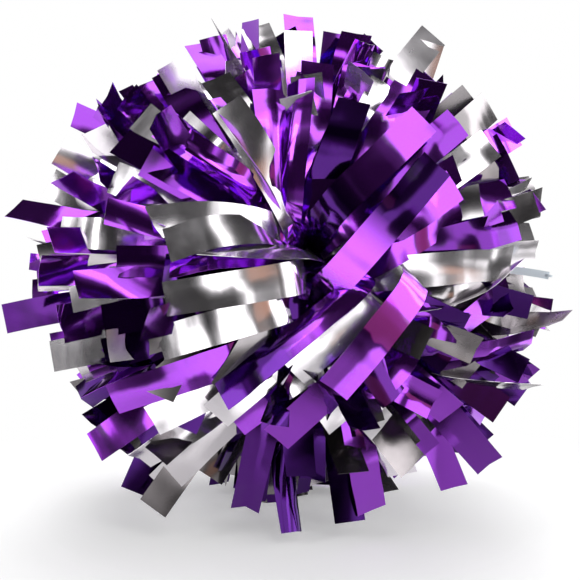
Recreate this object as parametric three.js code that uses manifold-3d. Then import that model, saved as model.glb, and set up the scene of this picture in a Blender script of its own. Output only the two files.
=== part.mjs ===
// A baton-grip cheer pom pom of metallised film strands, lying on a floor with its grip level.
// Millimetres, +Z up. The grip runs along Y, the front head faces -Y, and the origin is on the floor
// under the middle of the grip. Each head is a stack of fringed film sheets whose uncut spines are
// rolled round one end of the grip and cinched by a cable tie; its strands stand out in tufts.
// The two heads' fittings are the same moulded pieces, turned half round.
import * as THREE from "three";
import { ConvexGeometry } from "three/addons/geometries/ConvexGeometry.js";
import { mergeVertices } from "three/addons/utils/BufferGeometryUtils.js";
import Module from "manifold-3d";

const wasm = await Module();
wasm.setup();

// Driving dimensions
const STRAND_LENGTH = 155; // free length of a strand beyond the tie
const GRIP_HEIGHT = 158; // the grip's centre line above the floor
const TIE_PLANE = 50; // from the grip's middle to each tie
const SPREAD_X = 1.06; // a pom pom at rest spreads sideways
const SPREAD_Z = 0.98; // and is a little lower than it is wide
const CURL_LOSS = 0.28; // share of its reach that a strand along the grip loses by curling over
const GAP = 0.4; // between pieces that touch
const ROUND = 48; // facets round a moulded piece

// Grip tube
const GRIP_RADIUS = 12.5;
const GRIP_BORE = 9;
const RIB_RADIUS = 13.3;
const RIB_PITCH = 15;
const RIB_COUNT = 5;
const RIB_HALF_WIDTH = 3;
const COLLAR_RADIUS = 15;
const COLLAR_INNER = 40.5; // where the collars start, from the middle
const SEAT_RADIUS = 10;
const SEAT_INNER = 43;
const TUBE_HALF = 58;

// Spine roll, the uncut middle of the film sheets under the tie
const ROLL_EDGE_RADIUS = 15.8;
const ROLL_WAIST_RADIUS = 13.8;

// Cable tie
const TIE_WIDTH = 4.8;
const TIE_THICKNESS = 1.3;
const TIE_RADIUS = ROLL_WAIST_RADIUS + GAP;
const TIE_HEAD = { out: 6, along: 8, across: 6.6 };
const HEAD_SINK = 0.3; // how far the ratchet head sinks into its own strap
const TAIL_REACH = 169; // from the grip's centre line to the tail's tip
const TAIL_BEND = 0.6; // share of that reach where it turns from rising to drooping
const TAIL_RISE = 18;
const TAIL_TIP = 5; // height of the tail's tip over the grip's centre line

// End plug
const FLANGE_RADIUS = 16.5;
const FLANGE_THICKNESS = 2.2;
const FLANGE_DOME = 1;
const BOSS_RADIUS = GRIP_BORE - GAP;
const BOSS_WALL = 2;
const BOSS_LENGTH = 12;

// Tufts
const SECTORS = 6;
const BOTTOM_AZIMUTH = 270; // the first tuft of a head points straight down
const HINGE_RADIUS = 16; // from the grip's centre line to where the strands bend
const ROOT_STANDOFF = 9; // from the bend to where a tuft's solid starts
const LEAN_FIRST = 28; // degrees from the grip's axis to the strands nearest it
const LEAN_LAST = 100; // and to the strands that lean back over the hand
const PURPLE_SPAN = [-19, 4.5]; // degrees round the grip, from the tuft's centre
const SILVER_SPAN = [6.5, 19];
const LEAN_STEPS = 9;
const ROUND_STEPS = 4;

const clearPlastic = () =>
  new THREE.MeshStandardMaterial({ color: 0xdfe6ee, roughness: 0.35, metalness: 0 });
const whitePlastic = () =>
  new THREE.MeshStandardMaterial({ color: 0xf0f0ee, roughness: 0.45, metalness: 0 });
const purpleFilm = () =>
  new THREE.MeshStandardMaterial({ color: 0x6a1fa8, roughness: 0.12, metalness: 1 });
const silverFilm = () =>
  new THREE.MeshStandardMaterial({ color: 0xc9c6cc, roughness: 0.1, metalness: 1 });

const radians = THREE.MathUtils.degToRad;

/** A solid of revolution about Y from [radius, y] pairs, whose first pair is repeated if it is a ring. */
function turned(profile) {
  return new THREE.LatheGeometry(
    profile.map(([r, y]) => new THREE.Vector2(r, y)),
    ROUND,
  );
}

function named(name, geometry, material) {
  const mesh = new THREE.Mesh(geometry, material);
  mesh.name = name;
  return mesh;
}

/** A three.js geometry as a solid that can be joined. */
function solid(geometry) {
  const bare = geometry.clone();
  bare.deleteAttribute("normal");
  bare.deleteAttribute("uv");
  const merged = mergeVertices(bare, 1e-3);
  const mesh = new wasm.Mesh({
    numProp: 3,
    vertProperties: new Float32Array(merged.attributes.position.array),
    triVerts: new Uint32Array(merged.index.array),
  });
  return new wasm.Manifold(mesh);
}

function geometryOf(made) {
  const mesh = made.getMesh();
  return new THREE.BufferGeometry()
    .setAttribute("position", new THREE.BufferAttribute(mesh.vertProperties, 3))
    .setIndex(new THREE.BufferAttribute(mesh.triVerts, 1));
}

/** The hollow grip: five soft ribs for the fingers, a collar at each end of them, then a tie seat. */
function gripTube() {
  const outer = [];
  const firstRib = (-(RIB_COUNT - 1) / 2) * RIB_PITCH;
  for (let i = 0; i < RIB_COUNT; i++) {
    const y = firstRib + i * RIB_PITCH;
    outer.push([GRIP_RADIUS, y - RIB_HALF_WIDTH], [RIB_RADIUS, y - 1], [RIB_RADIUS, y + 1]);
    outer.push([GRIP_RADIUS, y + RIB_HALF_WIDTH]);
  }
  const upper = [
    [GRIP_RADIUS, COLLAR_INNER - 1.5],
    [COLLAR_RADIUS, COLLAR_INNER],
    [COLLAR_RADIUS, SEAT_INNER],
    [SEAT_RADIUS, SEAT_INNER],
    [SEAT_RADIUS, TUBE_HALF],
    [GRIP_BORE, TUBE_HALF],
  ];
  const lower = upper.map(([r, y]) => [r, -y]).reverse();
  return turned([...lower, ...outer, ...upper, lower[0]]);
}

/** The rolled spines of the film sheets, pinched in the middle by the tie. */
function spineRoll() {
  const inside = SEAT_RADIUS + GAP;
  const near = SEAT_INNER + GAP;
  const far = TUBE_HALF - GAP;
  const pinch = TIE_WIDTH / 2 + 0.6;
  return turned([
    [inside, near],
    [ROLL_EDGE_RADIUS - 1, near],
    [ROLL_EDGE_RADIUS, near + 1.2],
    [ROLL_WAIST_RADIUS, TIE_PLANE - pinch],
    [ROLL_WAIST_RADIUS, TIE_PLANE + pinch],
    [ROLL_EDGE_RADIUS, far - 1.2],
    [ROLL_EDGE_RADIUS - 1, far],
    [inside, far],
    [inside, near],
  ]);
}

/** The flanged plug that closes the tube and stops the roll sliding off. */
function endPlug() {
  const face = TUBE_HALF + GAP;
  const bossEnd = face - BOSS_LENGTH;
  const cavity = BOSS_RADIUS - BOSS_WALL;
  return turned([
    [0, face - 1],
    [cavity, face - 1],
    [cavity, bossEnd],
    [BOSS_RADIUS, bossEnd],
    [BOSS_RADIUS, face],
    [FLANGE_RADIUS, face],
    [FLANGE_RADIUS, face + FLANGE_THICKNESS - FLANGE_DOME],
    [FLANGE_RADIUS - 2, face + FLANGE_THICKNESS],
    [0, face + FLANGE_THICKNESS + FLANGE_DOME],
  ]);
}

/** The rear head's cable tie: its loop, its ratchet head, and a long tail to -X with a round tip. */
function cableTie() {
  const outside = TIE_RADIUS + TIE_THICKNESS;
  const half = TIE_WIDTH / 2;
  const loop = turned([
    [TIE_RADIUS, TIE_PLANE - half],
    [outside, TIE_PLANE - half],
    [outside, TIE_PLANE + half],
    [TIE_RADIUS, TIE_PLANE + half],
    [TIE_RADIUS, TIE_PLANE - half],
  ]);
  const head = new THREE.BoxGeometry(TIE_HEAD.out, TIE_HEAD.along, TIE_HEAD.across);
  head.translate(-(outside - HEAD_SINK + TIE_HEAD.out / 2), TIE_PLANE, 0);
  const route = new THREE.QuadraticBezierCurve3(
    new THREE.Vector3(-(outside + TIE_HEAD.out / 2), TIE_PLANE, 0),
    new THREE.Vector3(-TAIL_REACH * TAIL_BEND, TIE_PLANE, TAIL_RISE),
    new THREE.Vector3(-(TAIL_REACH - half), TIE_PLANE, TAIL_TIP),
  );
  const section = new THREE.Shape();
  section.moveTo(-TIE_THICKNESS / 2, -half);
  section.lineTo(TIE_THICKNESS / 2, -half);
  section.lineTo(TIE_THICKNESS / 2, half);
  section.lineTo(-TIE_THICKNESS / 2, half);
  section.closePath();
  const tail = new THREE.ExtrudeGeometry(section, { extrudePath: route, steps: 20 });
  const tip = new THREE.CylinderGeometry(half, half, TIE_THICKNESS, 16);
  const end = route.getPoint(1);
  const slope = route.getTangent(1);
  tip.rotateX(Math.PI / 2).rotateY(-Math.atan2(slope.z, slope.x));
  tip.translate(end.x, end.y, end.z);
  return geometryOf(solid(loop).add(solid(head)).add(solid(tail)).add(solid(tip)));
}

/** How far along its own line a strand reaches when it leans that many degrees from the grip's axis. */
function reach(lean) {
  return STRAND_LENGTH * (1 - CURL_LOSS * Math.cos(radians(lean)) ** 2);
}

/** A point of a head: side is -1 for the front, and distance runs from the bend along the strand. */
function strandPoint(side, azimuth, lean, distance) {
  const radius = HINGE_RADIUS + distance * Math.sin(radians(lean));
  const spread = distance / STRAND_LENGTH;
  const wide = 1 + (SPREAD_X - 1) * spread;
  const tall = 1 + (SPREAD_Z - 1) * spread;
  return new THREE.Vector3(
    radius * wide * Math.cos(radians(azimuth)),
    side * (TIE_PLANE + distance * Math.cos(radians(lean))),
    Math.max(0, GRIP_HEIGHT + radius * tall * Math.sin(radians(azimuth))),
  );
}

/** A tuft's plain solid: the hull of its root and its outer cap, flattened where it lies on the floor. */
function tuft(side, centre, [from, to]) {
  const points = [];
  for (let i = 0; i <= LEAN_STEPS; i++) {
    const lean = LEAN_FIRST + ((LEAN_LAST - LEAN_FIRST) * i) / LEAN_STEPS;
    for (let j = 0; j <= ROUND_STEPS; j++) {
      const azimuth = centre + from + ((to - from) * j) / ROUND_STEPS;
      points.push(strandPoint(side, azimuth, lean, reach(lean)));
      if (i % 3 === 0) points.push(strandPoint(side, azimuth, lean, ROOT_STANDOFF));
    }
  }
  return new ConvexGeometry(points);
}

const pomPom = new THREE.Group();

const grip = new THREE.Group();
grip.position.z = GRIP_HEIGHT;
grip.add(named("grip_tube", gripTube(), whitePlastic()));
pomPom.add(grip);

for (const [head, side] of [["front", -1], ["rear", 1]]) {
  const core = new THREE.Group();
  core.position.z = GRIP_HEIGHT;
  core.add(named(`end_plug_${head}`, endPlug(), whitePlastic()));
  core.add(named(`spine_roll_${head}`, spineRoll(), purpleFilm()));
  core.add(named(`cable_tie_${head}`, cableTie(), clearPlastic()));
  if (side < 0) core.rotation.z = Math.PI;
  pomPom.add(core);
  for (let i = 0; i < SECTORS; i++) {
    const centre = BOTTOM_AZIMUTH + (i * 360) / SECTORS;
    const purple = tuft(side, centre, PURPLE_SPAN);
    const silver = tuft(side, centre, SILVER_SPAN);
    pomPom.add(named(`purple_tuft_${head}_${i + 1}`, purple, purpleFilm()));
    pomPom.add(named(`silver_tuft_${head}_${i + 1}`, silver, silverFilm()));
  }
}

export default pomPom;
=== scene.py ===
"""The looks of a hand-held cheer pom pom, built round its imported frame.

Two round heads of purple and silver metallised film strands are tied on a short baton grip. Every
strand is a copy of a flat strip, laid along a path that leaves the roll under the tie, climbs out
of the head, turns over its neighbours and droops to a blunt tip. Lengths are in metres, but the
places of guided strands are in millimetres.
"""

import logging
import math
from dataclasses import dataclass, field, replace
from enum import Enum
from typing import Any, Mapping, Sequence

import bpy
import numpy as np
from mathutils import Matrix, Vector


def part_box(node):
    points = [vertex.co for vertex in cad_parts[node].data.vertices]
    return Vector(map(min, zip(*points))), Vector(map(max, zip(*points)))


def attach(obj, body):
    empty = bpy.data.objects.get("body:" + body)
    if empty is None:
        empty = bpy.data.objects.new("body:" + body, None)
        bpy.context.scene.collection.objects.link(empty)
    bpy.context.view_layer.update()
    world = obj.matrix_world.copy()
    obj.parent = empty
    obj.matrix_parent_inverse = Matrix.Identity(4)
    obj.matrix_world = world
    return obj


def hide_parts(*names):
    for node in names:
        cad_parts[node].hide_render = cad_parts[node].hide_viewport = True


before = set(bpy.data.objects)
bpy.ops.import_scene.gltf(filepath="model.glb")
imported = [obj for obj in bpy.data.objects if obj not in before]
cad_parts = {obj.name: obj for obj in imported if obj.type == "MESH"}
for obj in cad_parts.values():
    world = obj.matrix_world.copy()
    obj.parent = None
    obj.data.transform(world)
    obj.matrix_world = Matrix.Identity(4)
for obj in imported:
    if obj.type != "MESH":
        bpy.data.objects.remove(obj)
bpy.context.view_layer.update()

LOG = logging.getLogger("pom_pom")
MM = 0.001


# --- Shader maths ------------------------------------------------------------------------------


class Value:
    """A shader socket's output that Python's operators act on by adding Math nodes."""

    def __init__(self, tree: bpy.types.NodeTree, socket: bpy.types.NodeSocket) -> None:
        """Wraps one output socket.

        Args:
            tree: the node tree the socket belongs to.
            socket: the output socket.
        """
        self.tree = tree
        self.socket = socket

    def _math(self, operation: str, first: Any, second: Any) -> "Value":
        """Adds one Math node.

        Args:
            operation: the Math node's operation.
            first: its first input, a Value or a number.
            second: its second input, a Value or a number.

        Returns:
            The node's output.
        """
        node = self.tree.nodes.new("ShaderNodeMath")
        node.operation = operation
        for index, given in enumerate((first, second)):
            if isinstance(given, Value):
                self.tree.links.new(given.socket, node.inputs[index])
            else:
                node.inputs[index].default_value = given
        return Value(self.tree, node.outputs[0])

    def __add__(self, other: Any) -> "Value":
        """self + other."""
        return self._math("ADD", self, other)

    def __radd__(self, other: Any) -> "Value":
        """other + self."""
        return self._math("ADD", other, self)

    def __sub__(self, other: Any) -> "Value":
        """self - other."""
        return self._math("SUBTRACT", self, other)

    def __rsub__(self, other: Any) -> "Value":
        """other - self."""
        return self._math("SUBTRACT", other, self)

    def __mul__(self, other: Any) -> "Value":
        """self * other."""
        return self._math("MULTIPLY", self, other)

    def __rmul__(self, other: Any) -> "Value":
        """other * self."""
        return self._math("MULTIPLY", other, self)

    def __pow__(self, other: Any) -> "Value":
        """self ** other."""
        return self._math("POWER", self, other)


class Sheet:
    """A node tree that is filled by one method."""

    def __init__(self, owner: Any) -> None:
        """Empties the owner's node tree.

        Args:
            owner: a material or a world.
        """
        owner.use_nodes = True
        self.tree = owner.node_tree
        self.tree.nodes.clear()

    def add(
        self,
        kind: str,
        settings: Mapping[str, Any] | None = None,
        inputs: Mapping[Any, Any] | None = None,
        output: Any = 0,
    ) -> Value | None:
        """Adds any node.

        Args:
            kind: the node's type without its ShaderNode prefix.
            settings: its properties, set first; "stops" fills a ramp.
            inputs: socket name or index to a number, a colour, a vector or a Value.
            output: the output socket to return.

        Returns:
            That output, or nothing for a node that has none.
        """
        node = self.tree.nodes.new(f"ShaderNode{kind}")
        for name, given in (settings or {}).items():
            if name == "stops":
                self._fill_ramp(node.color_ramp, given)
            else:
                setattr(node, name, given)
        for name, given in (inputs or {}).items():
            if isinstance(given, Value):
                self.tree.links.new(given.socket, node.inputs[name])
            else:
                node.inputs[name].default_value = given
        return Value(self.tree, node.outputs[output]) if len(node.outputs) else None

    def blend(self, factor: Any, first: Any, second: Any) -> Value:
        """Mixes two colours.

        Args:
            factor: how much of the second shows, a Value or a number.
            first: a Value, or red, green and blue.
            second: a Value, or red, green and blue.

        Returns:
            The mixed colour.
        """
        ends = [end if isinstance(end, Value) else (*end, 1) for end in (first, second)]
        inputs = {"Factor": factor, "A": ends[0], "B": ends[1]}
        return self.add("Mix", {"data_type": "RGBA"}, inputs, output="Result")

    def surface(self, inputs: Mapping[str, Any]) -> None:
        """Ends the tree in a Principled surface.

        Args:
            inputs: its socket names to numbers, colours or Values.
        """
        shader = self.add("BsdfPrincipled", {}, inputs)
        self.add("OutputMaterial", {}, {"Surface": shader})

    @staticmethod
    def _fill_ramp(ramp: bpy.types.ColorRamp, stops: Sequence[tuple[float, Any]]) -> None:
        """Sets a ramp's stops from (position, grey or colour) pairs."""
        while len(ramp.elements) < len(stops):
            ramp.elements.new(0.5)
        for element, (position, shade) in zip(ramp.elements, stops):
            element.position = position
            element.color = (*shade, 1) if isinstance(shade, tuple) else (shade, shade, shade, 1)


# --- Finishes ----------------------------------------------------------------------------------


@dataclass(frozen=True)
class FilmFinish:
    """Metallised film: a bright metal under clear lacquer, rippled and finely crinkled.

    Args:
        name: the material's name.
        bright: the film's own colour.
        deep: the painted dark reflection colour that a strand's painted shade mixes its colour
            towards.
        coat: how much clear lacquer shows.
        smooth: the roughness of the glossiest strand.
        hazy: the roughness of the dullest strand.
    """

    name: str
    bright: tuple[float, float, float]
    deep: tuple[float, float, float]
    coat: float
    smooth: float = 0.05
    hazy: float = 0.15

    def build(self) -> bpy.types.Material:
        """Makes the material."""
        material = bpy.data.materials.new(self.name)
        sheet = Sheet(material)
        place = sheet.add("TexCoord", output="Object")
        strand = sheet.add("Attribute", {"attribute_name": "strand"}, output="Fac")
        # Painted shade: each strand's shade attribute darkens its colour, standing in for the dark
        # surroundings and shadow it mirrors.
        shade = sheet.add("Attribute", {"attribute_name": "shade"}, output="Fac")
        along = sheet.add("UVMap", {"uv_map": "UVMap"})
        cloud = sheet.add("TexNoise", {}, {"Vector": place, "Scale": 30.0, "Detail": 2.0})
        painted_shade = shade**2.0
        # The film's own colour, varied at random by the cloud, darkened by painted shade.
        tint = sheet.blend(painted_shade * 0.94 + cloud * 0.06, self.bright, self.deep)
        haze = sheet.add("TexNoise", {}, {"Vector": place, "Scale": 90.0, "Detail": 3.0})
        roughness = self.smooth + (self.hazy - self.smooth) * (strand * 0.6 + haze * 0.4)
        sheet.surface(
            {
                "Base Color": tint,
                "Metallic": 0.96,
                "Roughness": roughness,
                # Painted shade also thins the lacquer's reflection on darkened strands.
                "Coat Weight": self.coat * (1.0 - 0.85 * painted_shade),
                "Coat Roughness": 0.04,
                "Coat IOR": 1.55,
                "Normal": self._ripples(sheet, place, along, strand),
            }
        )
        return material

    @staticmethod
    def _ripples(sheet: Sheet, place: Value, along: Value, strand: Value) -> Value:
        """The film's surface: bends along the strand, creases across it and a fine crinkle.

        Args:
            sheet: the material's nodes.
            place: object coordinates.
            along: coordinates along and across the strand.
            strand: a number that is different for each strand.

        Returns:
            The bumped normal.
        """
        lengthwise = sheet.add("Mapping", {}, {"Vector": along, "Scale": (7.5, 0.3, 1.0)})
        bend = sheet.add(
            "TexNoise",
            {"noise_dimensions": "4D"},
            {"Vector": lengthwise, "W": strand * 47.0, "Scale": 1.0, "Detail": 1.5},
        )
        stretched = sheet.add("Mapping", {}, {"Vector": along, "Scale": (9.0, 1.1, 1.0)})
        crease = sheet.add(
            "TexNoise",
            {"noise_dimensions": "4D", "noise_type": "RIDGED_MULTIFRACTAL"},
            {"Vector": stretched, "W": strand * 31.0, "Scale": 1.0, "Detail": 2.0},
        )
        fine = sheet.add("TexNoise", {}, {"Vector": place, "Scale": 320.0, "Detail": 3.0})
        height = bend * 2.0 + crease * 0.06 + fine * 0.006
        return sheet.add(
            "Bump", {}, {"Strength": 0.4, "Distance": 1.6 * MM, "Height": height}, output="Normal"
        )


@dataclass(frozen=True)
class PlasticFinish:
    """Moulded plastic with a slightly uneven surface.

    Args:
        name: the material's name.
        colour: its colour.
        worn: its colour where it is handled.
        roughness: its mean roughness.
        grain: how strongly the surface is textured.
        clear: how much light goes through, from 0 to 1.
    """

    name: str
    colour: tuple[float, float, float]
    worn: tuple[float, float, float]
    roughness: float
    grain: float
    clear: float = 0.0

    def build(self) -> bpy.types.Material:
        """Makes the material."""
        material = bpy.data.materials.new(self.name)
        sheet = Sheet(material)
        place = sheet.add("TexCoord", output="Object")
        patch = sheet.add("TexNoise", {}, {"Vector": place, "Scale": 55.0, "Detail": 4.0})
        spread = sheet.add("ValToRGB", {"stops": [(0.42, 0.0), (0.68, 1.0)]}, {"Fac": patch})
        colour = sheet.blend(spread, self.colour, self.worn)
        grain = sheet.add("TexNoise", {}, {"Vector": place, "Scale": 900.0, "Detail": 2.0})
        normal = sheet.add(
            "Bump",
            {},
            {"Strength": self.grain, "Distance": 0.1 * MM, "Height": grain},
            output="Normal",
        )
        sheet.surface(
            {
                "Base Color": colour,
                "Roughness": self.roughness + 0.12 * (patch - 0.5),
                "Normal": normal,
                "Subsurface Weight": self.clear,
                "Subsurface Radius": (3 * MM, 3 * MM, 3 * MM),
            }
        )
        return material


class Film(Enum):
    """The two films a strand is cut from."""

    PURPLE = "purple"
    SILVER = "silver"


# Each film's second colour is its painted dark reflection colour, used by the painted shade.
FILM_FINISH = {
    Film.PURPLE: FilmFinish("purple_film", (0.42, 0.05, 0.8), (0.03, 0.002, 0.09), coat=0.9),
    Film.SILVER: FilmFinish(
        "silver_film", (0.92, 0.88, 0.92), (0.16, 0.145, 0.15), coat=0.3, hazy=0.36
    ),
}
GRIP_FINISH = PlasticFinish("grip_plastic", (0.84, 0.84, 0.83), (0.74, 0.73, 0.71), 0.45, 0.5)
TIE_FINISH = PlasticFinish("tie_nylon", (0.74, 0.82, 0.88), (0.66, 0.74, 0.80), 0.34, 0.25, 0.4)


# --- Small helpers -----------------------------------------------------------------------------


def smoothstep(low: float, high: float, at: np.ndarray) -> np.ndarray:
    """A smooth step from 0 at low to 1 at high."""
    t = np.clip((at - low) / (high - low), 0, 1)
    return t * t * (3 - 2 * t)


def smooth_line(knots: np.ndarray, count: int) -> np.ndarray:
    """Points on one smooth curve through all the knots.

    Args:
        knots: the points it goes through, one in each row.
        count: how many points to return.

    Returns:
        The points, from the first knot to the last.
    """
    chord = np.concatenate([[0], np.cumsum(np.linalg.norm(np.diff(knots, axis=0), axis=1))])
    slope = np.gradient(knots, chord, axis=0)
    at = np.linspace(0, chord[-1], count)
    span = np.clip(np.searchsorted(chord, at, side="right") - 1, 0, len(chord) - 2)
    width = (chord[span + 1] - chord[span])[:, None]
    t = (at - chord[span])[:, None] / width
    start = (2 * t**3 - 3 * t**2 + 1) * knots[span] + (t**3 - 2 * t**2 + t) * width * slope[span]
    end = (3 * t**2 - 2 * t**3) * knots[span + 1] + (t**3 - t**2) * width * slope[span + 1]
    return start + end


def rolled(
    across: np.ndarray, normal: np.ndarray, degrees: np.ndarray
) -> tuple[np.ndarray, np.ndarray]:
    """Rolls a strand's face about the strand's own length.

    Args:
        across: the ways across it, one in each row.
        normal: its face's normals there.
        degrees: how far it rolls there.

    Returns:
        The rolled ways across and normals.
    """
    angle = np.radians(degrees)[:, None]
    return (
        across * np.cos(angle) + normal * np.sin(angle),
        normal * np.cos(angle) - across * np.sin(angle),
    )


def deselect() -> None:
    """Leaves nothing selected, so that an operator acts on new pieces only."""
    if bpy.context.object and bpy.context.object.mode != "OBJECT":
        bpy.ops.object.mode_set(mode="OBJECT")
    bpy.ops.object.select_all(action="DESELECT")


def activate(*pieces: bpy.types.Object) -> None:
    """Selects just these pieces, the first of them active."""
    deselect()
    for piece in pieces:
        piece.select_set(True)
    bpy.context.view_layer.objects.active = pieces[0]


# --- Strands -----------------------------------------------------------------------------------


@dataclass(frozen=True)
class Strand:
    """One film strand, by the way it leaves the tie and where it ends up.

    Args:
        film: what it is cut from.
        clock: degrees round the grip, 0 to the right and 90 up, as seen from the front.
        climb: how far it runs out of the head before it turns over.
        lean: degrees from the head's own direction once it has turned.
        droop: further degrees it bends on the way to its tip.
        curl: degrees that its last stretch curls up or over.
        sway: degrees its tip wanders round the clock.
        roll: degrees its face is rolled after the turn, and at its tip.
        root_lean: degrees from the head's own direction where it leaves the tie.
        turn: length of strand that the turn takes.
        length: its free length.
        fold: degrees that its two halves stay folded along its middle.
        gather: length over which it opens from the pinch at the tie.
        start: radius at which it leaves the roll.
        back: how far behind the roll's outer edge it starts.
        seed: what makes its ripples its own.
    """

    film: Film
    clock: float
    climb: float
    lean: float
    droop: float = 10.0
    curl: float = 0.0
    sway: float = 0.0
    roll: tuple[float, float] = (0.0, 0.0)
    root_lean: float = 20.0
    turn: float = 30 * MM
    length: float = 152 * MM
    fold: float = 4.0
    gather: float = 55 * MM
    start: float = 13 * MM
    back: float = 2 * MM
    seed: int = 0


@dataclass(frozen=True)
class Guided:
    """A strand that lies on top of its head, by where it shows.

    Places are millimetres to the right of, above and in front of the middle of the tie.

    Args:
        film: what it is cut from.
        over: where it comes out between its neighbours and turns over.
        tip: the middle of its cut end.
        roll: degrees its face is rolled where it turns over, and at its tip.
        fold: degrees that its two halves stay folded along its middle.
        crown: millimetres that it arches forward between the two.
        bow: millimetres that it bows sideways between the two.
        shade: how much painted shade darkens it where it turns over, from 0 to 1, standing in for the
            dark reflections it shows.
        tip_shade: how much painted shade darkens it at its tip, where that is different.
    """

    film: Film
    over: tuple[float, float, float]
    tip: tuple[float, float, float]
    roll: tuple[float, float] = (0.0, 0.0)
    fold: float = 3.0
    crown: float = 7.0
    bow: float = 0.0
    shade: float = 0.3
    tip_shade: float | None = None


LINE_POINTS = 240  # on the line of a guided strand
PATH_POINTS = 200  # on the path of a filling strand
SLOW_WAVE = 9.0  # radians that the slow wave of a filling strand runs through, root to tip
QUICK_WAVE = 17.0  # radians that its quick wave runs through
QUICK_SHARE = 0.6  # how high the quick wave is, as a share of the slow one
WAVE_START = 3.0  # radians by which the start of either wave varies
SWAY_SPREAD = 0.25  # how much more or less than its sway a strand wanders
CURL_REACH = (0.5, 1.05)  # shares of its length between which it curls
FOLD_WAVE = 7.0  # radians that the wave in a strand's fold runs through
FOLD_START = 6.0  # the most radians by which that wave is shifted
TURN_DENSITY = 2.2  # how many more rows of faces a strand has where it turns over
RANDOM_PAINTED_SHADE = 0.92  # how much of a filling strand's painted shade, which stands in for the dark surroundings it mirrors, is random
UNDERSIDE_PAINTED_SHADE = 0.85  # how much more painted shade the strands get that hang straight down, as if in shadow
GOLDEN = 0.618  # steps of this share of a sector never line up

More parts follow.
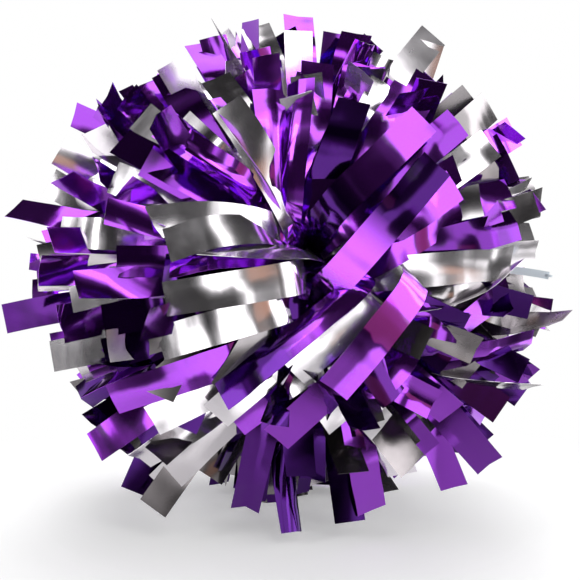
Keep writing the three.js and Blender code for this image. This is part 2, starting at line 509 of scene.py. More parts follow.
PURPLE = Film.PURPLE
SILVER = Film.SILVER
GUIDED = (
    # The stack of silver strands left of the parting, and the purple ones round it.
    Guided(SILVER, (0, 5, 93), (-68, -6, 93)),
    Guided(SILVER, (-5, -11, 86), (-72, -31, 86)),
    Guided(PURPLE, (0, 12, 84), (-70, 10, 82), (15, 20), shade=1.0),
    Guided(PURPLE, (-10, 19, 86), (-66, 13, 86), (35, 35), bow=-3),
    Guided(SILVER, (6, 20, 88), (-48, 22, 94), (62, 60)),
    Guided(SILVER, (-18, 32, 88), (-67, 23, 92), (30, 0), bow=-3),
    Guided(SILVER, (-15, 35, 84), (-80, 35, 84), (5, 0), bow=-3),
    Guided(PURPLE, (-28, 14, 70), (-98, 14, 72), (0, 6), 14, shade=0.8),
    Guided(SILVER, (-45, 4, 62), (-104, 2, 62)),
    Guided(PURPLE, (-48, -8, 62), (-108, -20, 62), (0, 4), shade=0.95),
    Guided(PURPLE, (-50, -22, 58), (-108, -40, 58), (10, 4), shade=1.0),
    # Upper left.
    Guided(PURPLE, (-30, 46, 72), (-97, 83, 66), (0, 18), shade=0.8),
    Guided(PURPLE, (-22, 52, 78), (-71, 88, 76), (22, 6), 24),
    Guided(SILVER, (-38, 58, 66), (-86, 98, 60), (0, -6), shade=0.6),
    Guided(PURPLE, (-15, 60, 76), (-46, 104, 78), (55, 58), 26),
    Guided(SILVER, (-10, 72, 62), (-43, 120, 58), (6, 10), shade=0.75),
    Guided(SILVER, (-30, 62, 60), (-64, 94, 60), (-14, -20)),
    Guided(SILVER, (-50, 42, 60), (-102, 63, 60), (8, -8)),
    Guided(PURPLE, (-45, 80, 48), (-74, 128, 40), (-6, 4), shade=0.8),
    Guided(PURPLE, (-55, 80, 46), (-90, 120, 36), (0, 14)),
    Guided(PURPLE, (-2, 50, 76), (5, 118, 66), (-24, -34), 12),
    Guided(PURPLE, (-4, 52, 72), (-12, 112, 70), (34, 20), 16),
    # Top.
    Guided(PURPLE, (12, 72, 62), (16, 130, 52), (0, 5)),
    Guided(PURPLE, (28, 75, 58), (41, 130, 50), (4, 0)),
    Guided(PURPLE, (20, 60, 72), (36, 104, 76), (8, -14), shade=1.0),
    Guided(SILVER, (34, 72, 64), (54, 116, 62), (42, 22)),
    Guided(PURPLE, (34, 66, 66), (68, 114, 62)),
    Guided(PURPLE, (52, 72, 58), (81, 121, 54), (0, 8)),
    Guided(SILVER, (-3, 112, 30), (-22, 160, 14), (0, -14), 8),
    Guided(PURPLE, (8, 120, 24), (5, 168, 8), shade=0.0),
    Guided(SILVER, (50, 105, 28), (90, 156, 10), (10, 25)),
    Guided(PURPLE, (-28, 105, 24), (-58, 152, 4), shade=0.6),
    Guided(PURPLE, (28, 112, 30), (41, 154, 22), shade=0.5),
    # The strands with painted dark reflections that cross right of the parting, and those behind them.
    Guided(PURPLE, (24, 3, 88), (79, 67, 96), (-4, 2), crown=10, shade=0.1, tip_shade=1.0),
    Guided(PURPLE, (24, 44, 88), (73, 92, 90), (-8, 4), shade=1.0, tip_shade=0.3),
    Guided(PURPLE, (50, 55, 74), (95, 93, 72), (0, 6), shade=0.75),
    Guided(PURPLE, (46, 24, 84), (92, 57, 80), (52, 8)),
    Guided(PURPLE, (55, 40, 72), (94, 66, 76), (30, 30)),
    Guided(SILVER, (64, 45, 70), (115, 82, 62), shade=0.0),
    Guided(PURPLE, (48, 16, 78), (96, 44, 74), (-14, 20)),
    Guided(PURPLE, (72, 20, 78), (130, 36, 66), (10, -12), 8, shade=0.9),
    Guided(SILVER, (60, 8, 80), (126, 15, 68), (-6, 24), 6),
    Guided(SILVER, (70, -6, 70), (114, -6, 64), (-12, 14), 12, shade=0.8),
    Guided(PURPLE, (80, 44, 64), (128, 54, 58), (14, -8)),
    Guided(SILVER, (95, 30, 56), (148, 50, 48), (0, 34), shade=0.9),
    Guided(SILVER, (75, 68, 56), (118, 106, 46), (10, 20), shade=0.95),
    Guided(PURPLE, (85, 62, 52), (134, 92, 40), (30, 10)),
    # Right of the parting and below.
    Guided(PURPLE, (68, 0, 90), (24, -56, 88), (-4, 6), crown=9, shade=0.0, tip_shade=0.5),
    Guided(PURPLE, (70, -16, 72), (43, -62, 70), (44, 34), bow=5),
    Guided(PURPLE, (36, 2, 88), (-38, -60, 88), (48, 42), 8, shade=0.2, tip_shade=1.0),
    Guided(SILVER, (46, -8, 78), (2, -48, 82), (12, 0), shade=0.0),
    Guided(SILVER, (25, -35, 66), (-18, -65, 68), (35, 20)),
    Guided(PURPLE, (38, -42, 76), (-8, -86, 74), shade=0.5, tip_shade=0.6),
    Guided(PURPLE, (14, -42, 66), (-32, -78, 68), (6, 0), shade=0.7),
    Guided(SILVER, (0, -35, 72), (-42, -73, 74), (24, -6)),
    Guided(PURPLE, (-25, -38, 76), (-102, -65, 68), (4, -4), shade=0.55, tip_shade=0.7),
    Guided(SILVER, (-25, -50, 64), (-80, -78, 60), (0, 6)),
    Guided(SILVER, (10, -48, 62), (30, -80, 62), (10, -20)),
    Guided(PURPLE, (44, -46, 62), (82, -67, 68), (0, -8), 16, shade=0.8, tip_shade=0.5),
    Guided(PURPLE, (58, -44, 58), (94, -74, 60), (-10, 22), shade=0.6),
    Guided(PURPLE, (52, -64, 50), (82, -100, 46), (0, -6), shade=0.8),
    Guided(SILVER, (34, -60, 54), (60, -90, 54), (18, -12)),
    Guided(SILVER, (46, -70, 44), (68, -116, 38), (0, 26)),
    Guided(PURPLE, (60, -14, 68), (100, -24, 64), (0, 8), 10, shade=0.7),
    Guided(SILVER, (70, -14, 66), (132, 14, 56), (74, 70), bow=-6),
    Guided(PURPLE, (82, -36, 60), (128, 0, 54), (24, 14)),
    Guided(PURPLE, (84, -45, 48), (148, -36, 30), (8, 20), 14, shade=0.9, tip_shade=0.5),
    Guided(SILVER, (90, -56, 40), (152, -64, 20), (60, 46)),
    Guided(PURPLE, (74, -56, 44), (124, -112, 24), (0, 12), shade=0.85),
    Guided(SILVER, (100, -6, 46), (156, -24, 24), (8, 24), shade=0.7),
    # Lower left and the fringe under it.
    Guided(PURPLE, (-56, -52, 58), (-118, -98, 40), (-4, 18)),
    Guided(SILVER, (-40, -70, 48), (-92, -106, 34), (30, -20), 18),
    Guided(SILVER, (-24, -66, 50), (-80, -124, 30), (6, 16), shade=0.7),
    Guided(PURPLE, (-12, -66, 58), (-27, -134, 40), (0, 0), 20, shade=0.95),
    Guided(PURPLE, (38, -74, 50), (50, -138, 34), (0, -10), shade=0.6),
    Guided(SILVER, (-76, -28, 48), (-146, -44, 30), (0, 12)),
    Guided(PURPLE, (-76, -14, 46), (-140, -26, 30), (20, -14), shade=0.8),
    Guided(SILVER, (-76, 28, 52), (-138, 32, 40)),
    Guided(PURPLE, (-96, 34, 24), (-176, 48, 4), (16, 34)),
)


@dataclass(frozen=True)
class Kinks:
    """The soft kinks across a guided strand.

    Args:
        most: the most kinks that one strand has.
        zone: the shares of its length between which they lie.
        reach: how far a kink runs to either side of its ridge, at least and at most.
        rise: how far a ridge stands proud, as a spread round 0.
    """

    most: int = 3
    zone: tuple[float, float] = (0.5, 0.97)
    reach: tuple[float, float] = (8 * MM, 22 * MM)
    rise: float = 1.1 * MM

    def proud(self, run: np.ndarray, draw: np.random.Generator) -> np.ndarray:
        """How far the strand stands proud of its path.

        Args:
            run: lengths along it, up to its tip.
            draw: its own random numbers.

        Returns:
            One distance for each length.
        """
        proud = np.zeros_like(run)
        for _ in range(draw.integers(1, self.most + 1)):
            ridge = draw.uniform(*self.zone) * run[-1]
            reach = draw.uniform(*self.reach)
            rise = draw.normal(0, self.rise)
            proud += rise * np.clip(1 - np.abs(run - ridge) / reach, 0, 1)
        return proud


@dataclass
class StripShape:
    """A flat strip that strands are copies of.

    Args:
        segments: faces along it.
        across: faces across it.
        width: its width.
        thickness: its thickness.
        piece: the strip itself, once it is modelled.
    """

    segments: int
    across: int = 2
    width: float = 19.05 * MM
    thickness: float = 0.16 * MM
    piece: bpy.types.Object | None = field(default=None, init=False)

    def model(self) -> None:
        """Models the strip once, one unit long, its faces smooth and its rim sharp."""
        deselect()
        bpy.ops.mesh.primitive_grid_add(
            x_subdivisions=self.segments, y_subdivisions=self.across, size=1, calc_uvs=True
        )
        strip = bpy.context.object
        strip.name = f"strip_{self.segments}"
        bpy.ops.object.mode_set(mode="EDIT")
        bpy.ops.transform.resize(value=(1, self.width, 1))
        bpy.ops.transform.translate(value=(0.5, 0, 0))
        bpy.ops.object.mode_set(mode="OBJECT")
        skin = strip.modifiers.new("film", "SOLIDIFY")
        skin.thickness = self.thickness
        skin.offset = 0
        bpy.ops.object.modifier_apply(modifier=skin.name)
        bpy.ops.object.shade_smooth_by_angle(angle=math.radians(40))
        self.piece = strip

    def discard(self) -> None:
        """Removes the strip once all its copies are made."""
        bpy.data.objects.remove(self.piece, do_unlink=True)


@dataclass
class Head:
    """One end of the pom pom: where its strands come from and which way they stand.

    Args:
        side: -1 for the front head and 1 for the rear one.
        core: the middle of the tie, on the grip's centre line.
        parting: how far the strands nearest the grip's axis part sideways and upwards.
        spread: how far strands at rest spread sideways and sink, as factors on X and Z.
        drift: how far the whole head leans sideways and upwards.
        floor: the height of the floor.
        turned: degrees that the guided strands are turned round the grip's axis.
        root: the radius at which they leave the roll.
        gather: length over which they open from the pinch at the tie.
        rolling: the shares of their length between which they roll over.
        fading: the shares of their length between which their painted shade changes.
        dome: half-widths to the right, upwards and forwards of the dome they lie flat on.
        kinks: their soft kinks.
        pinch: degrees that each half of any strand is folded under the tie.
        loose_fold: degrees that its fold varies further out.
        sag: how far its heading has dropped at its tip.
        wobble: degrees that the lean of a filling strand wanders.
        overlap: how far above the floor the lowest strands lie, at least and at most.
        cushion: the height over which a strand eases on to the floor.
    """

    side: int
    core: np.ndarray
    parting: tuple[float, float]
    spread: tuple[float, float] = (1.05, 0.985)
    drift: tuple[float, float] = (0.0, 0.0)
    floor: float = 0.0
    turned: float = 0.0
    root: float = 9 * MM
    gather: float = 60 * MM
    rolling: tuple[float, float] = (0.5, 1.0)
    fading: tuple[float, float] = (0.62, 0.78)
    dome: tuple[float, float, float] = (178 * MM, 165 * MM, 108 * MM)
    kinks: Kinks = Kinks()
    pinch: float = 72.0
    loose_fold: float = 5.0
    sag: float = 0.10
    wobble: float = 3.0
    overlap: tuple[float, float] = (0.3 * MM, 2.0 * MM)
    cushion: float = 3 * MM

    def heading(self, lean: np.ndarray, clock: np.ndarray) -> np.ndarray:
        """Unit directions of a strand.

        Args:
            lean: radians from the head's own direction.
            clock: radians round the grip.

        Returns:
            One row for each pair.
        """
        near = np.clip(np.cos(lean), 0, 1)
        out = np.stack(
            [
                np.sin(lean) * np.cos(clock) * self.spread[0] + self.parting[0] * near + self.drift[0],
                self.side * np.cos(lean),
                np.sin(lean) * np.sin(clock) * self.spread[1] + self.parting[1] * near + self.drift[1],
            ],
            axis=-1,
        )
        return out / np.linalg.norm(out, axis=-1, keepdims=True)

    def lay(self, strand: Strand, shape: StripShape) -> bpy.types.Object:
        """Copies the strip and lays it along a strand's path.

        Args:
            strand: what the strand does.
            shape: the strip to copy.

        Returns:
            The strand's own object.
        """
        draw = np.random.default_rng(strand.seed)
        stations = self._stations(strand, shape.segments)
        middle, along = self._path(strand, stations, draw)
        across, normal = self._faces(strand, stations, along)
        half = self._fold(strand.fold, stations / strand.length, strand.gather, strand.length, draw)
        # Painted shade: a random darkness for each strand, standing in for dark reflections, and more
        # for strands hanging down, as if in shadow.
        under = UNDERSIDE_PAINTED_SHADE * max(0.0, -math.sin(math.radians(strand.clock)))
        shade = np.full_like(stations, min(1.0, RANDOM_PAINTED_SHADE * draw.random() + under))
        return self._drape(shape, middle, across, normal, half, shade, draw)

    def lay_guided(self, guided: Guided, shape: StripShape, seed: int) -> bpy.types.Object:
        """Copies the strip and lays it where a guided strand shows.

        Args:
            guided: where it shows.
            shape: the strip to copy.
            seed: what makes its ripples its own.

        Returns:
            The strand's own object.
        """
        draw = np.random.default_rng(seed)
        line = smooth_line(self._knots(guided), LINE_POINTS)
        run = np.concatenate([[0], np.cumsum(np.linalg.norm(np.diff(line, axis=0), axis=1))])
        share = np.linspace(0, 1, shape.segments + 1)
        middle = np.stack([np.interp(share * run[-1], run, line[:, i]) for i in range(3)], axis=1)
        along = np.gradient(middle, axis=0)
        along /= np.linalg.norm(along, axis=1, keepdims=True)
        across = self._carried(middle, along)
        normal = np.cross(along, across)
        shown = smoothstep(*self.rolling, share)
        roll = guided.roll[0] + (guided.roll[1] - guided.roll[0]) * shown
        across, normal = rolled(across, normal, roll)
        middle = middle + normal * self.kinks.proud(share * run[-1], draw)[:, None]
        half = self._fold(guided.fold, share, self.gather, run[-1], draw)
        middle, across, normal = (self._to_world(way) for way in (middle, across, normal))
        middle = middle + self.core
        # Painted shade: the given darkness, changing from where it turns over to its tip, stands in
        # for dark reflections.
        tip_shade = guided.shade if guided.tip_shade is None else guided.tip_shade
        shade = guided.shade + (tip_shade - guided.shade) * smoothstep(*self.fading, share)
        return self._drape(shape, middle, across, normal, half, shade, draw)

    def _to_world(self, ways: np.ndarray) -> np.ndarray:
        """Turns rows of right, up and forward into the frame's X, Y and Z."""
        return np.stack([-self.side * ways[:, 0], self.side * ways[:, 2], ways[:, 1]], axis=1)

    def _knots(self, guided: Guided) -> np.ndarray:
        """The points a guided strand goes through, from the roll to its tip."""
        over, tip = np.array(guided.over) * MM, np.array(guided.tip) * MM
        cosine, sine = math.cos(math.radians(self.turned)), math.sin(math.radians(self.turned))
        spin = np.array([[cosine, -sine], [sine, cosine]])
        over[:2], tip[:2] = spin @ over[:2], spin @ tip[:2]
        away = over[:2] / max(np.linalg.norm(over[:2]), MM)
        root = np.array([*(away * self.root), 2 * MM])
        run = tip - over
        aside = np.array([-run[1], run[0], 0]) / np.linalg.norm(run[:2])
        middle = (over + tip) / 2 + aside * guided.bow * MM
        middle[2] += guided.crown * MM
        return np.stack([root, over, middle, tip])

    def _carried(self, middle: np.ndarray, along: np.ndarray) -> np.ndarray:
        """The way across a strand that lies flat on the dome and never twists of itself.

        Args:
            middle: points on its middle line, from the tie.
            along: its directions there.

        Returns:
            One unit direction for each point.
        """
        flat = (3 * len(middle)) // 4
        outward = middle[flat] / np.array(self.dome) ** 2
        across = np.empty_like(along)
        across[flat] = np.cross(outward, along[flat])
        across[flat] /= np.linalg.norm(across[flat])
        for order in (range(flat + 1, len(middle)), range(flat - 1, -1, -1)):
            last = across[flat]
            for index in order:
                last = last - along[index] * (along[index] @ last)
                last = last / np.linalg.norm(last)
                across[index] = last
        return across

    def _drape(
        self,
        shape: StripShape,
        middle: np.ndarray,
        across: np.ndarray,
        normal: np.ndarray,
        half: np.ndarray,
        shade: np.ndarray,
        draw: np.random.Generator,
    ) -> bpy.types.Object:
        """Copies the strip onto a path.

        Args:
            shape: the strip to copy.
            middle: points on the path, one for each row of the strip.
            across: the way across the strand there.
            normal: its face's normal there.
            half: radians each half is folded there.
            shade: how much painted shade darkens it there, from 0 to 1.
            draw: the strand's own random numbers.

        Returns:
            The strand's own object.
        """
        copy = shape.piece.copy()
        copy.data = shape.piece.data.copy()
        bpy.context.collection.objects.link(copy)
        flat = np.empty(len(copy.data.vertices) * 3)
        copy.data.vertices.foreach_get("co", flat)
        flat = flat.reshape(-1, 3)
        row = np.clip(np.rint(flat[:, 0] * shape.segments).astype(int), 0, shape.segments)
        half = half[row]
        aside = flat[:, 1] * np.cos(half)
        proud = np.abs(flat[:, 1]) * np.sin(half) + flat[:, 2]
        laid = middle[row] + across[row] * aside[:, None] + normal[row] * proud[:, None]
        laid[:, 2] = self._on_floor(laid[:, 2], draw)
        copy.data.vertices.foreach_set("co", laid.ravel())
        # Each strand carries a random ripple number and its painted shade to the film material.
        for name, values in (("strand", np.full(len(row), draw.random())), ("shade", shade[row])):
            tag = copy.data.attributes.new(name, "FLOAT", "POINT")
            tag.data.foreach_set("value", values)
        copy.data.update()
        return copy

    @staticmethod
    def _stations(strand: Strand, segments: int) -> np.ndarray:
        """Lengths along the strand, closer together where it turns over."""
        fine = np.linspace(0, strand.length, 2 * PATH_POINTS)
        turning = (fine > strand.climb) & (fine < strand.climb + strand.turn)
        weight = np.cumsum(1.0 + TURN_DENSITY * turning)
        weight = (weight - weight[0]) / (weight[-1] - weight[0])
        return np.interp(np.linspace(0, 1, segments + 1), weight, fine)

    def _path(
        self, strand: Strand, stations: np.ndarray, draw: np.random.Generator
    ) -> tuple[np.ndarray, np.ndarray]:
        """The strand's middle line.

        Args:
            strand: what the strand does.
            stations: lengths along it.
            draw: its own random numbers.

        Returns:
            The points at the stations, and the directions there.
        """
        fine = np.linspace(0, strand.length, PATH_POINTS)
        share = fine / strand.length
        turned = smoothstep(strand.climb, strand.climb + strand.turn, fine)
        lean = strand.root_lean + (strand.lean - strand.root_lean) * turned
        free = smoothstep(strand.climb + 0.5 * strand.turn, strand.length, fine)
        wobble = draw.normal(0, 1, 4)
        curled = smoothstep(*(reach * strand.length for reach in CURL_REACH), fine)
        slow = wobble[0] * np.sin(SLOW_WAVE * share + wobble[1] * WAVE_START)
        quick = QUICK_SHARE * np.sin(QUICK_WAVE * share + wobble[2] * WAVE_START)
        lean = lean + strand.droop * free + strand.curl * curled
        lean = lean + free * self.wobble * (slow + quick)
        clock = strand.clock + strand.sway * free * (1 + SWAY_SPREAD * wobble[3])
        heading = self.heading(np.radians(lean), np.radians(clock))
        heading[:, 2] -= self.sag * share**2
        heading /= np.linalg.norm(heading, axis=1, keepdims=True)
        step = np.diff(fine, prepend=0)[:, None]
        root = self.core + np.array(
            [
                strand.start * math.cos(math.radians(strand.clock)),
                self.side * strand.back,
                strand.start * math.sin(math.radians(strand.clock)),
            ]
        )
        points = root + np.cumsum(heading * step, axis=0)
        where = np.stack([np.interp(stations, fine, points[:, i]) for i in range(3)], axis=1)
        going = np.stack([np.interp(stations, fine, heading[:, i]) for i in range(3)], axis=1)
        return where, going / np.linalg.norm(going, axis=1, keepdims=True)

    def _faces(
        self, strand: Strand, stations: np.ndarray, along: np.ndarray
    ) -> tuple[np.ndarray, np.ndarray]:
        """The way across the strand and its face's normal at each station.

        Args:
            strand: what the strand does.
            stations: lengths along it.
            along: its directions there.

        Returns:
            The two sets of directions.
        """
        clock = math.radians(strand.clock)
        outward = np.array([math.cos(clock), 0, math.sin(clock)])
        sideways = np.cross(outward, np.array([0, self.side, 0]))
        across = sideways - along * (along @ sideways)[:, None]
        across /= np.linalg.norm(across, axis=1, keepdims=True)
        normal = np.cross(along, across)
        after = smoothstep(strand.climb + strand.turn, strand.length, stations)
        roll = strand.roll[0] + (strand.roll[1] - strand.roll[0]) * after
        return rolled(across, normal, roll)

    def _fold(
        self,
        fold: float,
        share: np.ndarray,
        gather: float,
        length: float,
        draw: np.random.Generator,
    ) -> np.ndarray:
        """Radians that each half of a strand is folded, from the pinch at the tie outwards.

        Args:
            fold: degrees of fold that stay in the open strand.
            share: how far along the strand each station is, from 0 to 1.
            gather: length over which it opens.
            length: its whole length.
            draw: its own random numbers.

        Returns:
            One angle for each station.
        """
        opened = smoothstep(0, gather, share * length)
        loose = fold + self.loose_fold * np.sin(share * FOLD_WAVE + draw.random() * FOLD_START)
        return np.radians(self.pinch * (1 - opened) + loose * opened) * draw.choice([-1, 1])

    def _on_floor(self, height: np.ndarray, draw: np.random.Generator) -> np.ndarray:
        """Heights that stay above the floor, each strand lying a little over the last."""
        lift = self.floor + draw.uniform(*self.overlap)
        return lift + self.cushion * np.logaddexp(0, (height - lift) / self.cushion)


@dataclass(frozen=True)
class Scatter:
    """How the strands that fill a head differ; a pair is a mean and a spread unless it says so.

    A strand's layer runs from 0 at the rim by the hand to 1 at the crown.

    Args:
        climb: how far the crown's strands run out before they turn over.
        climb_range: the least and the most of that for one strand, as a share.
        lean: degrees that the rim's strands lean once they have turned.
        crown_lean: degrees less for the crown's strands.
        droop: degrees that the rim's strands bend further.
        crown_droop: degrees more for the crown's strands.
        curl: degrees that the last stretch curls, as a spread round 0.
        sway: degrees that the tip wanders round the clock, as a spread round 0.
        roll: degrees its face is rolled after the turn and at its tip, as spreads round 0.
        root_lean: degrees that the rim's strands lean at the tie.
        crown_root_lean: degrees less for the crown's strands.
        turn: the least and the most length that the turn takes.
        length: free length.
        beside: how much further the strands at the sides reach, as a share.
        fold: degrees of fold that stay.
        gather: the least and the most length over which a strand opens.
        start: the least and the most radius at which the crown's strands leave the roll.
        rim_start: how much further out the rim's strands leave it.
        back: the least and the most distance behind the roll's outer edge.
        fill: the share of its sector that a tuft's roots fill.
        jitter: how unevenly they are spaced, as a share of the sector.
    """

    climb: float = 57 * MM
    climb_range: tuple[float, float] = (0.78, 1.1)
    lean: tuple[float, float] = (102.0, 9.0)
    crown_lean: float = 9.0
    droop: tuple[float, float] = (4.0, 14.0)
    crown_droop: float = 10.0
    curl: float = 30.0
    sway: float = 15.0
    roll: tuple[float, float] = (24.0, 50.0)
    root_lean: tuple[float, float] = (62.0, 5.0)
    crown_root_lean: float = 60.0
    turn: tuple[float, float] = (24 * MM, 42 * MM)
    length: tuple[float, float] = (149 * MM, 7 * MM)
    beside: float = 0.075
    fold: tuple[float, float] = (3.0, 9.0)
    gather: tuple[float, float] = (40 * MM, 75 * MM)
    start: tuple[float, float] = (4 * MM, 9 * MM)
    rim_start: float = 6 * MM
    back: tuple[float, float] = (-4 * MM, 6 * MM)
    fill: float = 0.96
    jitter: float = 0.25


@dataclass
class Tufts:
    """Every strand of one head, gathered into a purple and a silver tuft for each sector.

    Args:
        name: the head's name in the frame.
        head: where its strands come from.
        coarse: the strip for the strands that fill the head.
        fine: the strip for the guided strands.
        sectors: how many sectors the head is in.
        first: the clock angle of the first sector.
        purple: purple strands in a sector.
        silver: silver strands in a sector.
        seed: what makes this head's strands its own.
        tuck: how much less far the strands that hang down reach, as a share.
        tail: the clock angle of the cable tie's tail, which the strands leave in sight.
        tail_room: degrees either side of the tail where strands stay behind it.
        behind: least degrees that those strands lean at the tie and once they have turned.
        behind_climb: how far they run out of the head before they turn.
        scatter: how the filling strands differ.
    """

    name: str
    head: Head
    coarse: StripShape
    fine: StripShape
    sectors: int = 6
    first: float = 270.0
    purple: int = 44
    silver: int = 22
    seed: int = 7
    tuck: float = 0.0
    tail: float = 0.0
    tail_room: float = 13.0
    behind: tuple[float, float] = (75.0, 99.0)
    behind_climb: float = 2 * MM
    scatter: Scatter = Scatter()

    def build(self, finishes: Mapping[Film, bpy.types.Material]) -> None:
        """Lays all the strands and dresses the tufts.

        Args:
            finishes: the material of each film.
        """
        draw = np.random.default_rng(self.seed)
        pitch = 360 / self.sectors
        for sector in range(self.sectors):
            centre = self.first + sector * pitch
            strands = self._fill(centre, pitch, draw)
            for film in Film:
                laid = [self.head.lay(s, self.coarse) for s in strands if s.film is film]
                laid += [
                    self.head.lay_guided(guided, self.fine, self.seed * 1000 + index)
                    for index, guided in enumerate(GUIDED)
                    if guided.film is film and self._sector(guided, pitch) == sector
                ]
                self._tie_up(film, sector + 1, laid, finishes[film])

    def _sector(self, guided: Guided, pitch: float) -> int:
        """The sector that a guided strand lies over, counted from 0."""
        across, up = (a + b for a, b in zip(guided.over[:2], guided.tip[:2]))
        clock = math.degrees(math.atan2(up, across)) + self.head.turned
        clock = clock if self.head.side < 0 else 180 - clock
        return round((clock - self.first) / pitch) % self.sectors

    def _fill(self, centre: float, pitch: float, draw: np.random.Generator) -> list[Strand]:
        """The loose strands of one sector, from the rim by the hand to the crown.

        Args:
            centre: the sector's clock angle.
            pitch: degrees of clock it takes up.
            draw: the head's random numbers.

        Returns:
            The strands.
        """
        by = self.scatter
        total = self.purple + self.silver
        films = [Film.PURPLE] * self.purple + [Film.SILVER] * self.silver
        draw.shuffle(films)
        strands = []
        for index, film in enumerate(films):
            layer = (index + draw.random()) / total
            step = (index * GOLDEN + draw.random() * by.jitter) % 1 - 0.5
            clock = centre + pitch * by.fill * step
            climb = by.climb * layer**1.1 * draw.uniform(*by.climb_range)
            lean = by.lean[0] - by.crown_lean * layer + draw.normal(0, by.lean[1])
            beside = by.beside * math.cos(math.radians(clock)) ** 2
            below = self.tuck * max(0.0, -math.sin(math.radians(clock)))
            strands.append(
                Strand(
                    film=film,
                    clock=clock,
                    climb=climb,
                    lean=lean,
                    droop=draw.normal(by.droop[0] + by.crown_droop * layer, by.droop[1]),
                    curl=draw.normal(0, by.curl),
                    sway=draw.normal(0, by.sway),
                    roll=(draw.normal(0, by.roll[0]), draw.normal(0, by.roll[1])),
                    root_lean=draw.normal(
                        by.root_lean[0] - by.crown_root_lean * layer, by.root_lean[1]
                    ),
                    turn=draw.uniform(*by.turn),
                    length=draw.normal(*by.length) * (1 + beside - below),
                    fold=abs(draw.normal(*by.fold)),
                    gather=draw.uniform(*by.gather),
                    start=draw.uniform(*by.start) + by.rim_start * (1 - layer),
                    back=draw.uniform(*by.back),
                    seed=int(draw.integers(1 << 30)),
                )
            )
        return [self._behind_tail(strand) for strand in strands]

    def _behind_tail(self, strand: Strand) -> Strand:
        """Keeps a strand that would cover the cable tie's tail behind it.

        Args:
            strand: any filling strand.

        Returns:
            The same strand, or one that leans back behind the tail.
        """
        risen = math.degrees(self.head.drift[1]) * math.cos(math.radians(strand.clock))
        midway = strand.clock + 0.5 * strand.sway + risen
        off = (midway - self.tail + 180) % 360 - 180
        if abs(off) > self.tail_room:
            return strand
        return replace(
            strand,
            climb=self.behind_climb,
            root_lean=max(strand.root_lean, self.behind[0]),
            lean=max(strand.lean, self.behind[1]),
            droop=abs(strand.droop),
            curl=abs(strand.curl),
        )

    def _tie_up(
        self,
        film: Film,
        number: int,
        laid: Sequence[bpy.types.Object],
        finish: bpy.types.Material,
    ) -> None:
        """Joins strands into one tuft and hands it to the frame.

        Args:
            film: the tuft's film.
            number: its sector.
            laid: its strands.
            finish: its material.
        """
        activate(*laid)
        bpy.ops.object.join()
        tuft = bpy.context.object
        tuft.name = f"{film.value}_strands_{self.name}_{number}"
        tuft.data.materials.clear()
        tuft.data.materials.append(finish)
        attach(tuft, f"tuft_{self.name}_{number}")
        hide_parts(f"{film.value}_tuft_{self.name}_{number}")
        LOG.info("%s: %d strands", tuft.name, len(laid))


# --- Grip and ties -----------------------------------------------------------------------------


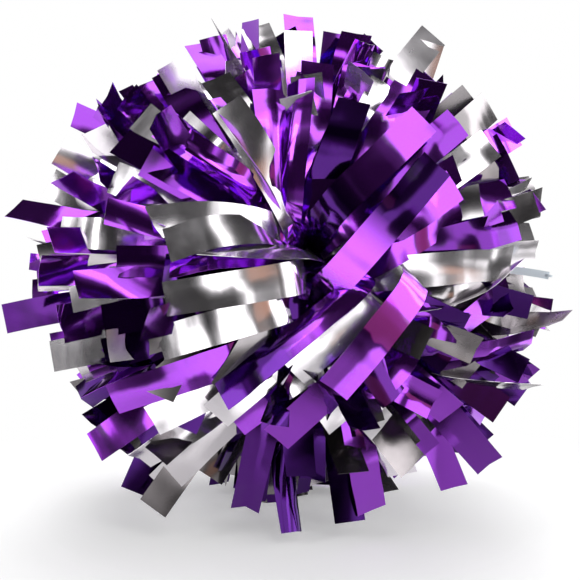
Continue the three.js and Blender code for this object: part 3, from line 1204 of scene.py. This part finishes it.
@dataclass
class Core:
    """The grip, its plugs, the cable ties and the rolled film under them.

    Args:
        pleats: folds round a spine roll.
        pleat_depth: how deep they are.
        pleat_share: how much of that depth their crests reach.
        bore: the roll's bore as a share of the plug's width.
        pinch: how far the tie pulls the roll in.
        pinch_reach: how far that reaches to either side, as a share of the roll's width.
        pinch_flat: how much the tie flattens the pleats, as a share.
    """

    pleats: int = 40
    pleat_depth: float = 0.9 * MM
    pleat_share: float = 0.9
    bore: float = 0.66
    pinch: float = 1.2 * MM
    pinch_reach: float = 0.22
    pinch_flat: float = 0.8

    def build(self, film: bpy.types.Material) -> None:
        """Dresses the moulded pieces and models the rolls.

        Args:
            film: the material of the rolled film.
        """
        grip = GRIP_FINISH.build()
        tie = TIE_FINISH.build()
        for node, finish in (("grip_tube", grip), ("end_plug", grip), ("cable_tie", tie)):
            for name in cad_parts:
                if name.startswith(node):
                    self._dress(name, finish)
        for name in ("front", "rear"):
            self._roll(name, film)

    @staticmethod
    def _dress(name: str, finish: bpy.types.Material) -> None:
        """Puts a finish on a node of the frame."""
        node = bpy.data.objects[name]
        if not node.material_slots:
            node.data.materials.append(finish)
        for slot in node.material_slots:
            slot.material = finish
        LOG.info("%s: %s", name, finish.name)

    def _roll(self, name: str, film: bpy.types.Material) -> None:
        """Models a spine roll: pleated film, pinched to a waist under the tie.

        Args:
            name: the head's name.
            film: its material.
        """
        low, high = (Vector(corner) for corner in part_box(f"spine_roll_{name}"))
        middle = (low + high) / 2
        width = high.y - low.y
        radius = (high.x - low.x) / 2
        plug_low, plug_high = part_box(f"end_plug_{name}")
        inner = (plug_high[0] - plug_low[0]) / 2 * self.bore
        deselect()
        bpy.ops.mesh.primitive_cylinder_add(
            vertices=self.pleats * 2,
            radius=radius,
            depth=width,
            end_fill_type="NOTHING",
            location=middle,
            rotation=(math.pi / 2, 0, 0),
        )
        roll = bpy.context.object
        roll.name = f"rolled_spine_{name}"
        bpy.ops.object.transform_apply(location=True, rotation=True, scale=True)
        bpy.ops.object.mode_set(mode="EDIT")
        bpy.ops.mesh.select_all(action="SELECT")
        bpy.ops.mesh.subdivide(number_cuts=6)
        bpy.ops.object.mode_set(mode="OBJECT")
        count = len(roll.data.vertices)
        points = np.empty(count * 3)
        roll.data.vertices.foreach_get("co", points)
        points = points.reshape(-1, 3) - np.array(middle)
        angle = np.arctan2(points[:, 2], points[:, 0])
        pinch = np.exp(-((points[:, 1] / (self.pinch_reach * width)) ** 2))
        pleat = np.cos(angle * self.pleats) * self.pleat_depth * (1 - self.pinch_flat * pinch)
        now = np.hypot(points[:, 0], points[:, 2])
        wanted = radius - self.pleat_depth - pinch * self.pinch + pleat * self.pleat_share
        points[:, [0, 2]] *= (wanted / now)[:, None]
        roll.data.vertices.foreach_set("co", (points + np.array(middle)).ravel())
        wall = roll.modifiers.new("wall", "SOLIDIFY")
        wall.thickness = radius - inner - 2.5 * self.pleat_depth
        wall.offset = -1
        activate(roll)
        bpy.ops.object.modifier_apply(modifier=wall.name)
        bpy.ops.object.shade_smooth_by_angle(angle=math.radians(50))
        roll.data.materials.append(film)
        # The roll's film is darkened by a middling painted shade through the same attribute as the
        # strands.
        for tag_name in ("strand", "shade"):
            tag = roll.data.attributes.new(tag_name, "FLOAT", "POINT")
            tag.data.foreach_set("value", np.full(len(roll.data.vertices), 0.5))
        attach(roll, "handle")
        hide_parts(f"spine_roll_{name}")
        LOG.info("%s", roll.name)


# --- Studio ------------------------------------------------------------------------------------


@dataclass(frozen=True)
class Softbox:
    """One soft light, which the film also mirrors.

    Args:
        name: its name.
        place: where it stands.
        size: its width and height.
        glow: how bright its face is.
        colour: its tint.
    """

    name: str
    place: tuple[float, float, float]
    size: tuple[float, float]
    glow: float
    colour: tuple[float, float, float] = (1.0, 1.0, 1.0)

    def build(self, aim: tuple[float, float, float]) -> None:
        """Places the light, facing the aim and unseen by the camera."""
        deselect()
        bpy.ops.object.light_add(type="AREA", location=self.place)
        lamp = bpy.context.object
        lamp.name = self.name
        lamp.data.shape = "RECTANGLE"
        lamp.data.size, lamp.data.size_y = self.size
        lamp.data.energy = self.glow * math.pi * self.size[0] * self.size[1]
        lamp.data.color = self.colour
        lamp.visible_camera = False
        way = Vector(aim) - Vector(self.place)
        lamp.rotation_euler = way.to_track_quat("-Z", "Y").to_euler()


SOFTBOXES = (
    Softbox("overhead", (0.0, 0.25, 1.25), (1.1, 0.9), 2.0),
    Softbox("side_left", (-1.3, 0.25, 0.45), (1.1, 1.0), 1.9),
    Softbox("side_right", (1.3, 0.25, 0.45), (1.1, 1.0), 1.9),
    Softbox("window_left", (-1.0, -0.75, 0.75), (0.35, 0.6), 3.2),
    Softbox("strip_left", (-1.1, -0.15, 0.35), (0.12, 0.6), 2.6),
    Softbox("strip_right", (1.05, -0.5, 0.5), (0.18, 0.7), 2.6),
    Softbox("window_front", (0.35, -1.15, 1.05), (0.45, 0.25), 2.2),
    Softbox("backdrop", (0.0, 1.6, 0.6), (1.8, 0.9), 0.5),
    Softbox("warm_card", (0.55, -0.95, 0.02), (0.4, 0.3), 0.5, (1.0, 0.55, 0.38)),
)


@dataclass
class Studio:
    """A pale floor, soft lights, their surroundings, and the camera.

    Args:
        distance: from the camera to the aim.
        aim: the point the camera looks at.
        elevation: degrees that the camera stands above the aim.
        half_view: degrees from the middle of the view to its edge.
        floor_radius: where the floor has faded out.
        floor_core: the share of that which is solid.
        floor_glow: how bright the floor is of itself.
        patch_place: where in the noise the surroundings lie.
        patch_scale: how fine their patches are, across, along and upwards.
        patch_glow: how bright the brightest patch is.
    """

    distance: float = 650 * MM
    aim: tuple[float, float, float] = (0.0, 0.0, 152 * MM)
    elevation: float = 2.0
    half_view: float = 17.3
    floor_radius: float = 0.36
    floor_core: float = 0.3
    floor_glow: float = 0.24
    patch_place: tuple[float, float, float] = (8.4, 16.4, 8.25)
    patch_scale: tuple[float, float, float] = (1.0, 1.0, 0.6)
    patch_glow: float = 2.2

    def build(self) -> None:
        """Sets up the floor, the lights and the camera."""
        bpy.context.scene.view_settings.view_transform = "Standard"
        self._floor()
        self._surroundings()
        for softbox in SOFTBOXES:
            softbox.build(self.aim)
        self._camera()

    def _floor(self) -> None:
        """The pale floor: a round sweep of paper whose rim fades into the white behind it."""
        deselect()
        bpy.ops.mesh.primitive_circle_add(vertices=96, radius=self.floor_radius, fill_type="NGON")
        floor = bpy.context.object
        floor.name = "studio_floor"
        material = bpy.data.materials.new("pale_floor")
        sheet = Sheet(material)
        place = sheet.add("TexCoord", output="Object")
        cloud = sheet.add("TexNoise", {}, {"Vector": place, "Scale": 3.0})
        colour = sheet.blend(cloud, (0.90, 0.90, 0.90), (0.93, 0.93, 0.93))
        away = sheet.add("VectorMath", {"operation": "LENGTH"}, {0: place}, output="Value")
        solid = sheet.add(
            "MapRange",
            {"interpolation_type": "SMOOTHSTEP"},
            {
                "Value": away,
                "From Min": self.floor_radius,
                "From Max": self.floor_radius * self.floor_core,
            },
            output="Result",
        )
        sheet.surface(
            {
                "Base Color": colour,
                "Roughness": 0.7,
                "Alpha": solid,
                "Emission Color": (1.0, 1.0, 1.0, 1),
                "Emission Strength": self.floor_glow,
            }
        )
        floor.data.materials.append(material)

    def _surroundings(self) -> None:
        """Dark and bright patches for the film to mirror; the camera sees only white."""
        world = bpy.data.worlds.new("studio")
        bpy.context.scene.world = world
        sheet = Sheet(world)
        way = sheet.add("TexCoord", output="Generated")
        placed = sheet.add(
            "Mapping", {}, {"Vector": way, "Location": self.patch_place, "Scale": self.patch_scale}
        )
        patch = sheet.add("TexNoise", {}, {"Vector": placed, "Scale": 1.7, "Detail": 0.5})
        level = self.patch_glow * sheet.add(
            "ValToRGB",
            {"stops": [(0.51, 0.004), (0.55, 0.035), (0.607, 0.08), (0.64, 0.95)]},
            {"Fac": patch},
        )
        seen = sheet.add("LightPath", output="Is Camera Ray")
        colour = sheet.blend(seen, level, (1.0, 1.0, 1.0))
        background = sheet.add("Background", {}, {"Color": colour, "Strength": 1.0})
        sheet.add("OutputWorld", {}, {"Surface": background})

    def _camera(self) -> None:
        """The camera, in front of the pom pom and almost level with it."""
        deselect()
        rise = math.radians(self.elevation)
        offset = Vector((0, -math.cos(rise), math.sin(rise))) * self.distance
        bpy.ops.object.camera_add(location=Vector(self.aim) + offset)
        camera = bpy.context.object
        camera.name = "camera"
        camera.rotation_euler = (-offset).to_track_quat("-Z", "Y").to_euler()
        camera.data.sensor_width = 36
        half_width = camera.data.sensor_width / 2
        camera.data.lens = half_width / math.tan(math.radians(self.half_view))
        camera.data.dof.use_dof = False
        bpy.context.scene.camera = camera


@dataclass(frozen=True)
class HeadPlan:
    """What makes one head different from the other.

    Args:
        name: front or rear, as in the names of its pieces.
        side: -1 for the front head and 1 for the rear one.
        parting: how far the strands nearest the grip's axis part sideways and upwards.
        spread: how far strands at rest spread sideways and sink, as factors on X and Z.
        tail: degrees round the grip at which the tie's tail stands out.
        seed: what makes its strands its own.
        drift: how far the whole head leans sideways and upwards.
        turned: degrees that the guided strands are turned round the grip's axis.
        tuck: how much less far the strands that hang down reach, as a share.
    """

    name: str
    side: int
    parting: tuple[float, float]
    spread: tuple[float, float]
    tail: float
    seed: int
    drift: tuple[float, float] = (0.0, 0.0)
    turned: float = 0.0
    tuck: float = 0.0

    def build(
        self,
        height: float,
        coarse: StripShape,
        fine: StripShape,
        finishes: Mapping[Film, bpy.types.Material],
    ) -> None:
        """Builds the head's tufts.

        Args:
            height: the height of the grip's centre line.
            coarse: the strip for the strands that fill the head.
            fine: the strip for the guided strands.
            finishes: the material of each film.
        """
        low, high = (Vector(corner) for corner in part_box(f"spine_roll_{self.name}"))
        core = np.array([0.0, (low.y + high.y) / 2, height])
        head = Head(self.side, core, self.parting, self.spread, self.drift, turned=self.turned)
        Tufts(
            self.name,
            head,
            coarse,
            fine,
            seed=self.seed,
            tuck=self.tuck,
            tail=self.tail,
        ).build(finishes)


HEAD_PLANS = (
    HeadPlan(
        "front",
        side=-1,
        parting=(0.10, 0.30),
        spread=(1.06, 0.96),
        tail=2.4,
        seed=6,
        drift=(0.03, 0.04),
        tuck=0.06,
    ),
    HeadPlan(
        "rear",
        side=1,
        parting=(-0.05, 0.12),
        spread=(1.05, 0.985),
        tail=177.6,
        seed=8,
        turned=150.0,
    ),
)


def main() -> None:
    """Builds the pom pom and its studio in order."""
    logging.basicConfig(level=logging.INFO, format="%(message)s")
    grip_low, grip_high = (Vector(corner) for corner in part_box("grip_tube"))
    axis_height = (grip_low.z + grip_high.z) / 2
    Studio().build()
    finishes = {film: finish.build() for film, finish in FILM_FINISH.items()}
    Core().build(finishes[Film.PURPLE])
    coarse, fine = StripShape(segments=14), StripShape(segments=26, across=4)
    coarse.model()
    fine.model()
    for plan in HEAD_PLANS:
        plan.build(axis_height, coarse, fine, finishes)
    coarse.discard()
    fine.discard()


if __name__ == "__main__":
    main()
